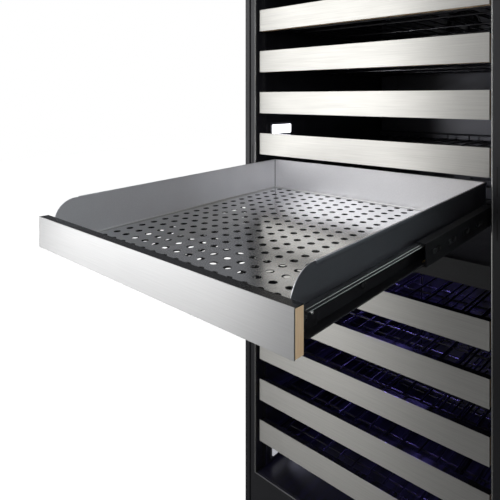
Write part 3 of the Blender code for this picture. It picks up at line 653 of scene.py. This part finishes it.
def slide_details(side_name, side):
    """Lips, bracket and screws of a slide's drawer member, and stampings and balls of its middle one."""
    low, high = level(f"slide_{side_name}_drawer")
    sloped = climbing(low.y)
    plate_x = side * (DRAWER_WEB + 0.0022)
    lip_x = side * DRAWER_LIP
    middle_z = (low.z + high.z) / 2
    bm = bmesh.new()
    z = low.z + 0.0008
    rods(bm, [[(lip_x, low.y + 0.002, z), (lip_x, high.y - 0.002, z)]], 0.0009, resolution=1)
    near, far = band(side, DRAWER_WEB, DRAWER_WEB + 0.0022)
    block(bm, (near, low.y - 0.0090, low.z + 0.0010), (far, low.y + 0.0300, high.z - 0.0010), 0.0006)
    piece(f"slide_{side_name}_lips", bm, FINISH["slide"], "tray", "black_steel", matrix=sloped)
    bm = bmesh.new()
    places = [(plate_x, low.y + y, middle_z) for y in (0.008, 0.120, 0.300)]
    screws(bm, places, "x", 0.0045, 0.0022, side)
    piece(f"slide_{side_name}_screws", bm, FINISH["slide"], "tray", "black_steel", matrix=sloped)
    bm = bmesh.new()
    screws(bm, [(plate_x, low.y + 0.021, middle_z + 0.003)], "x", 0.0022, 0.0012, side)
    for x, z in ((lip_x, high.z - 0.0004), (side * BALL_PLACE, high.z + 0.0008)):
        rods(bm, [[(x, low.y + 0.002, z), (x, high.y - 0.004, z)]], 0.0004, resolution=1)
    piece(f"slide_{side_name}_edges", bm, FINISH["bead"], "tray", "bright_steel", matrix=sloped)
    low, high = level(f"slide_{side_name}_middle")
    sloped = climbing(low.y)
    middle_z = (low.z + high.z) / 2
    bm = bmesh.new()
    near, far = band(side, MIDDLE_WEB + 0.0001, MIDDLE_WEB + 0.0007)
    for start in (0.020, 0.075, 0.130, 0.185):
        y = low.y + start
        block(bm, (near, y, middle_z - 0.0040), (far, y + 0.026, middle_z + 0.0040), 0.0003)
    piece(f"slide_{side_name}_stamping", bm, FINISH["gloss"], "slide_middles", "black_steel", matrix=sloped)
    bm = bmesh.new()
    near, far = band(side, BALL_PLACE - 0.0003, BALL_PLACE + 0.0003)
    ball = [(0.0014 * sin(radians(turn)), -0.0014 * cos(radians(turn))) for turn in (12, 50, 90, 130, 168)]
    for z in (middle_z - 0.0104, middle_z + 0.0104):
        block(bm, (near, low.y + 0.004, z - 0.0012), (far, low.y + 0.120, z + 0.0012))
        for i in range(9):
            turned(bm, ball, (side * BALL_PLACE, low.y + 0.010 + 0.013 * i, z), "x", 10)
    piece(f"slide_{side_name}_balls", bm, FINISH["brass"], "slide_middles", "black_steel", matrix=sloped)


def tray():
    low, high = local("tray_front_face")
    high.y = local("tray_front_core")[1].y
    replaced, core = ["tray_front_face"], ["tray_front_core"]
    front_board("tray_front", low, high, "tray_steel", "tray", "brushed_stainless", replaced, core)
    tray_pan()
    for side_name, side in (("left", -1), ("right", 1)):
        slide_details(side_name, side)


# ---- Cabinet ----------------------------------------------------------------------------------------------
def front_frame():
    """The moulded frame: an outer band, a groove, an inner band and a bright bead at the opening's edge."""
    low, high = local("front_frame")
    sill = local("inner_liner")[0].z + 0.002 - low.z
    front, back = low.y, high.y
    near, far = GROOVE
    section = [(0, back), (0, front + 0.0015), (0.0015, front), (near - 0.0006, front)]
    section = even(section + [(near, front + 0.0040), (far, front + 0.0040), (far + 0.0006, front)])
    section += [(FRAME_INSET - 0.0015, front, sill - 0.0015), (FRAME_INSET, front + 0.0015, sill)]
    section += [(FRAME_INSET, back, sill)]
    bm = bmesh.new()
    ring(bm, low, high, section)
    piece("front_trim", bm, FINISH["frame"], "cabinet", "black_plastic", "front_frame", crease=25)
    bm = bmesh.new()
    y = front + 0.0006
    for x in (FRAME_INSET - high.x, high.x - FRAME_INSET):
        rods(bm, [[(x, y, low.z + sill), (x, y, high.z - FRAME_INSET)]], BEAD_RADIUS)
    piece("opening_beads", bm, FINISH["bead"], "cabinet", "black_plastic")
    bm = bmesh.new()
    tray_top = local("tray_pan")[1].z
    for side in (-1, 1):
        near, far = band(side, CATCH_PLACE - 0.0010, CATCH_PLACE + 0.0010)
        for lift, height in ((0.010, 0.050), (-0.038, 0.008), (-0.070, 0.036)):
            z = tray_top + lift
            block(bm, (near, front - 0.0004, z - height / 2), (far, front + 0.0004, z + height / 2), 0.0003)
    piece("catch_slots", bm, FINISH["rubber"], "cabinet", "black_plastic")


def wall_details():
    """Ribs and air buttons of the inner walls, and the seams and screws of the back wall."""
    ducts = [local("air_duct_lower"), local("air_duct_upper")]
    duct_y = ducts[1][0].y
    heights = [(low.z, high.z) for low, high in ducts]
    bm = bmesh.new()
    for side in (-1, 1):
        near, far = band(side, WALL, WALL - 0.0012)
        for bottom, top in heights:
            block(bm, (near, 0.0240, bottom), (far, 0.0270, top), 0.0004)
    for x in (-0.200, 0.200):
        for bottom, top in heights:
            block(bm, (x - 0.0008, duct_y - 0.0012, bottom), (x + 0.0008, duct_y - 0.0002, top), 0.0003)
    piece("wall_ribs", bm, FINISH["liner"], "cabinet", "black_plastic")
    bm = bmesh.new()
    for row in (-2, 0, 1, -5, -6, -7):
        z = FRONT_HIGH.z - BUTTON_DROP + row * SHELF_PITCH
        for side in (-1, 1):
            places = [(side * WALL, 0.24 + 0.018 * i, z) for i in range(13)]
            screws(bm, places, "x", 0.0022, 0.0006, -side)
    piece("air_buttons", bm, FINISH["panel"], "cabinet", "black_plastic")
    bm = bmesh.new()
    for bottom, top in heights:
        rows = (bottom + 0.015, (bottom + top) / 2, top - 0.015)
        screws(bm, [(x, duct_y, z) for x in (-0.235, 0.235) for z in rows], "y", 0.0042, 0.0020, -1)
    piece("duct_screws", bm, FINISH["bright"], "cabinet", "bright_steel")


def fan(name, guard):
    """Twisted blades on a hub, with a round wire guard in front of those inside the cabinet."""
    low, high = local(name)
    centre = (low + high) / 2
    radius, depth = (high.x - low.x) / 2, high.y - low.y
    hub = radius * 0.36
    bm = bmesh.new()
    dome = [(hub * 0.6, -depth / 2), (hub * 0.92, -depth * 0.42), (hub, -depth * 0.25), (hub, depth / 2)]
    turned(bm, dome, centre, "y", 24)
    blade_count, along, across = 7, 6, 5
    for blade in range(blade_count):
        rows = []
        for i in range(along + 1):
            reach = hub * 0.95 + (radius * 0.985 - hub * 0.95) * i / along
            sweep = radians(10) * (i / along) ** 2
            pitch = radians(44 - 18 * i / along)
            chord = radians(38) * (0.92 + 0.15 * i / along)
            row = []
            for j in range(across + 1):
                turn = 2 * pi * blade / blade_count + sweep + chord * (j / across - 0.5)
                y = centre.y + depth * 0.42 * (j / across - 0.5) * 2 * sin(pitch)
                row.append(bm.verts.new((centre.x + reach * cos(turn), y, centre.z + reach * sin(turn))))
            rows.append(row)
        for near, far in zip(rows, rows[1:]):
            for j in range(across):
                bm.faces.new((near[j], near[j + 1], far[j + 1], far[j]))
    made = piece(f"{name}_rotor", bm, FINISH["liner"], name, "black_plastic", name)
    walls = made.modifiers.new("blade_thickness", "SOLIDIFY")
    walls.thickness = 0.0008
    walls.offset = 0
    if not guard:
        return
    duct_y = local("air_duct_upper")[0].y - 0.0016
    bm = bmesh.new()
    rings = []
    for reach, steps in ((0.012, 32), (0.022, 32), (0.032, 32), (0.042, 40), (0.052, 40)):
        rings.append([(x, duct_y, z) for x, z in circle(centre.x, centre.z, reach, steps)])
    rods(bm, rings, 0.0009, closed=True, resolution=1)
    spokes = []
    for i in range(8):
        direction = Vector((cos(pi * i / 4), 0, sin(pi * i / 4)))
        hub_end = Vector((centre.x, duct_y + 0.0004, centre.z)) + direction * 0.012
        spokes.append([hub_end, hub_end + direction * 0.040])
    rods(bm, spokes, 0.0009, resolution=1)
    piece(f"{name}_guard", bm, FINISH["wire"], "cabinet", "black_wire")


def lamp(name, finish):
    """A lit lens with rounded edges in a moulded bezel."""
    low, high = local(name)
    bm = bmesh.new()
    edge = Vector((-0.0006, 0.0020, 0.0020))
    block(bm, low + Vector((0.0006, 0.0020, 0.0020)), high - edge, 0.0018, 3)
    piece(f"{name}_lens", bm, FINISH[finish], "cabinet", "lamp_lens", name)
    bm = bmesh.new()
    outline = [rectangle(low.y - 0.003, low.z - 0.003, high.y + 0.003, high.z + 0.003)]
    outline.append(rectangle(low.y + 0.002, low.z + 0.002, high.y - 0.002, high.z - 0.002))
    plate(bm, outline, low.x, low.x + 0.0020, "yz")
    piece(f"{name}_bezel", bm, FINISH["panel"], "cabinet", "dark_panel")


def cabinet_lights():
    lamp("lamp_upper", "lamp")
    lamp("lamp_lower", "dim_lamp")
    low, high = local("led_strip")
    bm = bmesh.new()
    edge = Vector((0.001, 0.0005, 0.002))
    block(bm, (low.x + 0.001, low.y, low.z + 0.002), high - edge, 0.0009)
    piece("led_lens", bm, FINISH["smoked"], "cabinet", "led_lens", "led_strip", crease=FLAT)
    bm = bmesh.new()
    for side_x in (low.x, high.x - 0.0008):
        block(bm, (side_x, low.y - 0.0004, low.z), (side_x + 0.0008, high.y, high.z), 0.0002)
    piece("led_channel", bm, FINISH["aluminium"], "cabinet", "aluminium_fins")
    under = local("zone_divider")[0].z
    bm = bmesh.new()
    block(bm, (-0.050, 0.060, under - 0.0045), (-0.036, 0.520, under - 0.0006), 0.0012)
    piece("divider_light_lens", bm, FINISH["led"], "cabinet", "led_lens")
    bm = bmesh.new()
    for x in (-0.0528, -0.0358):
        block(bm, (x, 0.055, under - 0.0052), (x + 0.0026, 0.525, under - 0.0003), 0.0006)
    piece("divider_light_channel", bm, FINISH["panel"], "cabinet", "dark_panel")


def control_keys():
    """Small touch dots and a blank display window on the control panel."""
    low, high = local("control_panel")
    middle, front = (low.z + high.z) / 2, low.y
    bm = bmesh.new()
    for x in (-0.100, -0.075, 0.075, 0.100):
        plate(bm, [circle(x, middle, 0.0014)], front - 0.0002, front + 0.0002)
    piece("control_marks", bm, FINISH["key"], "cabinet", "lamp_lens")
    bm = bmesh.new()
    block(bm, (-0.038, front - 0.0006, middle - 0.0075), (0.038, front + 0.0004, middle + 0.0075), 0.0004)
    piece("control_window", bm, FINISH["smoked"], "cabinet", "gloss_black", crease=FLAT)


def rear_details():
    """Screws on the back and the grille, and the copper lines of the machine room."""
    low, high = local("back_panel")
    grille_low, grille_high = local("rear_grille")
    bm = bmesh.new()
    places = [(x, high.y, z) for x in (-0.285, 0.285) for z in (low.z + 0.03, 0.70, 1.10, high.z - 0.03)]
    places += [(x, high.y, high.z - 0.012) for x in (-0.10, 0.10)]
    rows = (grille_low.z + 0.012, grille_high.z - 0.012)
    places += [(x, high.y, z) for x in (-0.285, 0, 0.285) for z in rows]
    screws(bm, places, "y", 0.0045, 0.0022, 1)
    piece("rear_screws", bm, FINISH["bright"], "cabinet", "bright_steel")
    bm = bmesh.new()
    for row in range(LOUVRE_ROWS):
        z = grille_low.z + LOUVRE_START + LOUVRE_PITCH * row
        outline = [(high.y, z + 0.0095), (high.y + 0.0045, z + 0.0050), (high.y + 0.0045, z + 0.0044)]
        outline += [(high.y, z + 0.0085)]
        for x in (-LOUVRE_OFFSET, LOUVRE_OFFSET):
            plate(bm, [outline], x - LOUVRE_HALF, x + LOUVRE_HALF, "yz")
    piece("grille_louvres", bm, FINISH["zinc"], "cabinet", "galvanised_steel")
    pot_low, pot_high = local("compressor")
    fins = local("condenser")[1].x
    middle = (pot_low + pot_high) / 2
    lines = []
    for shift, z in ((-0.020, 0.150), (0.020, 0.110)):
        x, y = middle.x - 0.0585, middle.y + shift
        line = [(x, y, z), (x - 0.030, y, z), (x - 0.030, y, z + 0.030), (fins + 0.026, y, z + 0.030)]
        line += [(fins + 0.026, y + 0.020, z), (fins + 0.004, y + 0.020, z)]
        lines.append(fillet(line, 0.010))
    bm = bmesh.new()
    rods(bm, lines, 0.0032)
    piece("copper_lines", bm, FINISH["copper"], "cabinet", "aluminium_fins")


def shell_details():
    """Rolled edges on the cabinet's top and sides, and screws in the hinge plates."""
    high = local("outer_shell")[1]
    bm = bmesh.new()
    z = high.z - 0.0004
    for x in (0.0010 - high.x, high.x - 0.0010):
        rods(bm, [[(x, 0.002, z), (x, high.y - 0.002, z)]], 0.0012, resolution=1)
    piece("shell_seams", bm, FINISH["paint"], "cabinet", "cabinet_paint")
    top = local("hinge_top")[1].z
    bm = bmesh.new()
    screws(bm, [(0.272, y, top) for y in (0.018, 0.044)], "z", 0.0045, 0.0020, 1)
    pin = [(0.0062, 0), (0.0062, 0.0010), (0.0050, 0.0018), (0.0002, 0.0018)]
    turned(bm, pin, (0.296, -0.0195, top), "z", 20)
    piece("hinge_top_screws", bm, FINISH["bright"], "cabinet", "bright_steel")
    bm = bmesh.new()
    screws(bm, [(x, -0.0113, 0.095) for x in (0.270, 0.292)], "y", 0.0042, 0.0020, -1)
    piece("hinge_bottom_screws", bm, FINISH["bright"], "cabinet", "bright_steel")


# ---- Door -------------------------------------------------------------------------------------------------
def door_piece(name, bm, finish, slot, *replaced, crease=35):
    """Makes bm, laid out as if the door were shut, a piece that swings with it."""
    piece(name, bm, FINISH[finish], "door", slot, *replaced, matrix=SWING, crease=crease)


def door():
    """Laid out as if shut, from the hinge axis, and swung open by piece()."""
    low, high = shut_box("door_frame")
    glass_low, glass_high = shut_box("door_glass")
    rail = glass_low.x - low.x
    seam = low.y + DOOR_SKIN
    bm = bmesh.new()
    section = [(0.0002, seam), (0, low.y + 0.0030), (0.0009, low.y + 0.0009), (0.0030, low.y)]
    section += [(rail - 0.0025, low.y), (rail - 0.0006, low.y + 0.0009)]
    section += [(rail - 0.0003, low.y + 0.0025), (rail - 0.0003, seam)]
    ring(bm, low, high, even(section))
    door_piece("door_skin", bm, "door_steel", "door_stainless", "door_frame", crease=25)
    bm = bmesh.new()
    section = [(0.0012, seam + 0.0002), (0.0012, high.y - 0.0012), (0.0024, high.y)]
    section += [(rail - 0.006, high.y), (rail - 0.001, high.y - 0.004), (rail - 0.001, seam + 0.0002)]
    ring(bm, low, high, even(section))
    door_piece("door_inner_frame", bm, "liner", "black_plastic", crease=25)
    inner = glass_high.y + 0.0100
    for name, start, replaced in (("outer", glass_low.y, ["door_glass"]), ("inner", inner, [])):
        bm = bmesh.new()
        block(bm, (glass_low.x, start, glass_low.z), (glass_high.x, start + PANE, glass_high.z), 0.0003)
        door_piece(f"door_{name}_pane", bm, "glass", "tinted_glass", *replaced, crease=FLAT)
    bm = bmesh.new()
    near, far = glass_low.y + 0.0042, glass_low.y + 0.0048
    ring(bm, glass_low, glass_high, even([(0, near), (0, far), (BORDER, far), (BORDER, near)]))
    door_piece("door_glass_border", bm, "gloss", "gloss_black")
    bm = bmesh.new()
    near, far = glass_low.y + 0.0050, glass_high.y + 0.0098
    ring(bm, glass_low, glass_high, even([(0.004, near), (0.004, far), (0.014, far), (0.014, near)]))
    door_piece("door_pane_spacer", bm, "aluminium", "aluminium_fins")
    gasket()
    handle()


def gasket():
    """A bellows section: a clip foot, a fold on each side and a rounded magnet bar."""
    low, high = shut_box("door_gasket")
    front, back = low.y, high.y
    section = [(0.002, front), (0.0035, front + 0.0015), (0.0005, front + 0.0025), (0.0015, back - 0.0005)]
    section += [(0.004, back), (0.014, back), (0.0165, back - 0.0005), (0.0175, front + 0.0025)]
    section += [(0.0145, front + 0.0015), (0.016, front)]
    bm = bmesh.new()
    ring(bm, low, high, even(section))
    door_piece("door_gasket_bellows", bm, "rubber", "black_rubber", "door_gasket", crease=50)


def handle():
    """A round bar on two turned posts."""
    low, high = shut_box("door_handle")
    x = (low.x + high.x) / 2
    radius = (high.x - low.x) / 2
    bar_y = low.y + radius
    bm = bmesh.new()
    ends = [(radius * 0.25, low.z), (radius * 0.75, low.z + 0.0008), (radius, low.z + 0.0030)]
    ends += [(radius, high.z - 0.0030), (radius * 0.75, high.z - 0.0008), (radius * 0.25, high.z)]
    turned(bm, [(r, z - low.z) for r, z in ends], (x, bar_y, low.z), "z", 32)
    for z in (low.z + 0.030, high.z - 0.030):
        post = [(0.0085, 0), (0.0085, -0.0015), (0.0055, -0.0035), (0.0050, bar_y - high.y)]
        turned(bm, post, (x, high.y, z), "y", 24)
    door_piece("door_handle_bar", bm, "bright", "bright_steel", "door_handle")


# ---- Studio -----------------------------------------------------------------------------------------------
def soft_light(name, place, aim, size, power, colour=(1, 1, 1)):
    data = bpy.data.lights.new(name, "AREA")
    data.shape = "RECTANGLE"
    data.size, data.size_y = size
    data.energy = power
    data.color = colour
    light = bpy.data.objects.new(name, data)
    light.location = MIDDLE + Vector(place)
    light.rotation_euler = (Vector(aim) - Vector(place)).to_track_quat("-Z", "Y").to_euler()
    light.visible_camera = False
    bpy.context.scene.collection.objects.link(light)
    return light


def studio_lights():
    soft_light("key_near", (-0.86, -1.23, 1.25), (0.0, -0.10, 1.10), (0.80, 1.25), 6.8)
    soft_light("side_fill", (1.5, -1.4, 1.4), (0.26, -0.50, 0.95), (0.7, 0.7), 6)
    soft_light("high_front", (-1.5, -2.3, 2.3), (0, -0.2, 0.95), (1.6, 1.3), 5)
    soft_light("overhead", (0.1, -0.6, 2.9), (0, -0.3, 0.9), (2.6, 2.0), 15)
    back = soft_light("back_fill", (1.6, 3.0, 2.2), (0, 0.3, 0.8), (2.0, 2.0), 12)
    back.visible_glossy = False
    for name, power in (("lamp_upper", 1.5), ("lamp_lower", 0.2)):
        low, high = local(name)
        place = Vector((high.x + 0.004, (low.y + high.y) / 2, (low.z + high.z) / 2))
        aim = place + Vector((1, 0.45, 0))
        glow = soft_light(f"{name}_glow", place, aim, (0.07, 0.02), power, (0.92, 0.93, 1.0))
        glow.data.spread = 1.7
    place = Vector((-0.043, 0.29, local("zone_divider")[0].z - 0.006))  # below the divider's light bar
    below = place - Vector((0, 0, 1))
    glow = soft_light("divider_glow", place, below, (0.010, 0.44), 0.75, (0.26, 0.20, 1.0))
    glow.data.spread = 2.0


def floor_finish():
    """A floor that glows evenly for the camera, but in reflections and as a light only to the front left."""
    made = textured("studio_floor", triple(0.12), triple(0.15), (0.60, 0.80), triple(40), 0.0001, 0.8)
    nodes, links = made.node_tree.nodes, made.node_tree.links
    shader = nodes["Principled BSDF"]
    shader.inputs["Specular IOR Level"].default_value = 0.1
    shader.inputs["Emission Color"].default_value = (1.0, 1.0, 1.0, 1.0)
    place = nodes.new("ShaderNodeTexCoord").outputs["Object"]
    towards = nodes.new("ShaderNodeVectorMath")  # distance over the floor to the front left
    towards.operation = "DOT_PRODUCT"
    towards.inputs[1].default_value = (-0.8, -0.6, 0.0)
    links.new(place, towards.inputs[0])
    bright = spread(made, towards.outputs["Value"], 0.0, 0.38, FLOOR_DARK, FLOOR_BRIGHT)
    seen = spread(made, nodes.new("ShaderNodeLightPath").outputs["Is Camera Ray"], 0.0, 1.0, 0.0, 1.0)
    larger = nodes.new("ShaderNodeMath")
    larger.operation = "MAXIMUM"
    links.new(bright, larger.inputs[0])
    links.new(seen, larger.inputs[1])
    links.new(larger.outputs[0], shader.inputs["Emission Strength"])
    return made


def studio():
    bm = bmesh.new()
    size = 9.0
    corners = [bm.verts.new((x, y, 0)) for x, y in rectangle(-size, -size, size, size)]
    bm.faces.new(corners)
    mesh = bpy.data.meshes.new("studio_floor")
    bm.to_mesh(mesh)
    bm.free()
    mesh.materials.append(floor_finish())
    floor = bpy.data.objects.new("studio_floor", mesh)
    floor.location.z = -0.0002
    bpy.context.scene.collection.objects.link(floor)
    world = bpy.data.worlds.new("studio")
    world.use_nodes = True
    nodes, links = world.node_tree.nodes, world.node_tree.links
    seen = nodes["Background"]
    seen.inputs["Color"].default_value = (1, 1, 1, 1)
    lit = nodes.new("ShaderNodeBackground")
    lit.inputs["Color"].default_value = (0.93, 0.95, 1.0, 1)
    split = nodes.new("ShaderNodeSeparateXYZ")
    links.new(nodes.new("ShaderNodeTexCoord").outputs["Generated"], split.inputs["Vector"])
    brighter = nodes.new("ShaderNodeMapRange")  # the room is lighter on the cabinet's right
    brighter.inputs["From Min"].default_value = 0.1
    brighter.inputs["From Max"].default_value = 0.9
    brighter.inputs["To Min"].default_value = 0.20
    brighter.inputs["To Max"].default_value = 0.60
    links.new(split.outputs["X"], brighter.inputs["Value"])
    links.new(brighter.outputs["Result"], lit.inputs["Strength"])
    path = nodes.new("ShaderNodeLightPath")
    mixed = nodes.new("ShaderNodeMixShader")
    links.new(path.outputs["Is Camera Ray"], mixed.inputs["Fac"])
    links.new(lit.outputs["Background"], mixed.inputs[1])
    links.new(seen.outputs["Background"], mixed.inputs[2])
    links.new(mixed.outputs["Shader"], nodes["World Output"].inputs["Surface"])
    bpy.context.scene.world = world
    bpy.context.scene.view_settings.view_transform = "Standard"


def camera():
    """A level camera to the right of the cabinet, whose view is shifted down from the horizon."""
    data = bpy.data.cameras.new("camera")
    data.lens = 36.34
    data.sensor_width = 36.0
    data.shift_y = -0.3057
    data.clip_start = 0.05
    data.clip_end = 50.0
    obj = bpy.data.objects.new("camera", data)
    obj.location = MIDDLE + Vector((0.5442, -0.8971, FRONT_HIGH.z - 0.0121))
    obj.rotation_euler = (pi / 2, 0, radians(42.96))
    bpy.context.scene.collection.objects.link(obj)
    bpy.context.scene.camera = obj


repaint_nodes()
shelves()
tray()
front_frame()
wall_details()
fan("fan_upper", True)
fan("fan_lower", True)
fan("condenser_fan", False)
cabinet_lights()
control_keys()
rear_details()
shell_details()
door()
studio_lights()
studio()
camera()
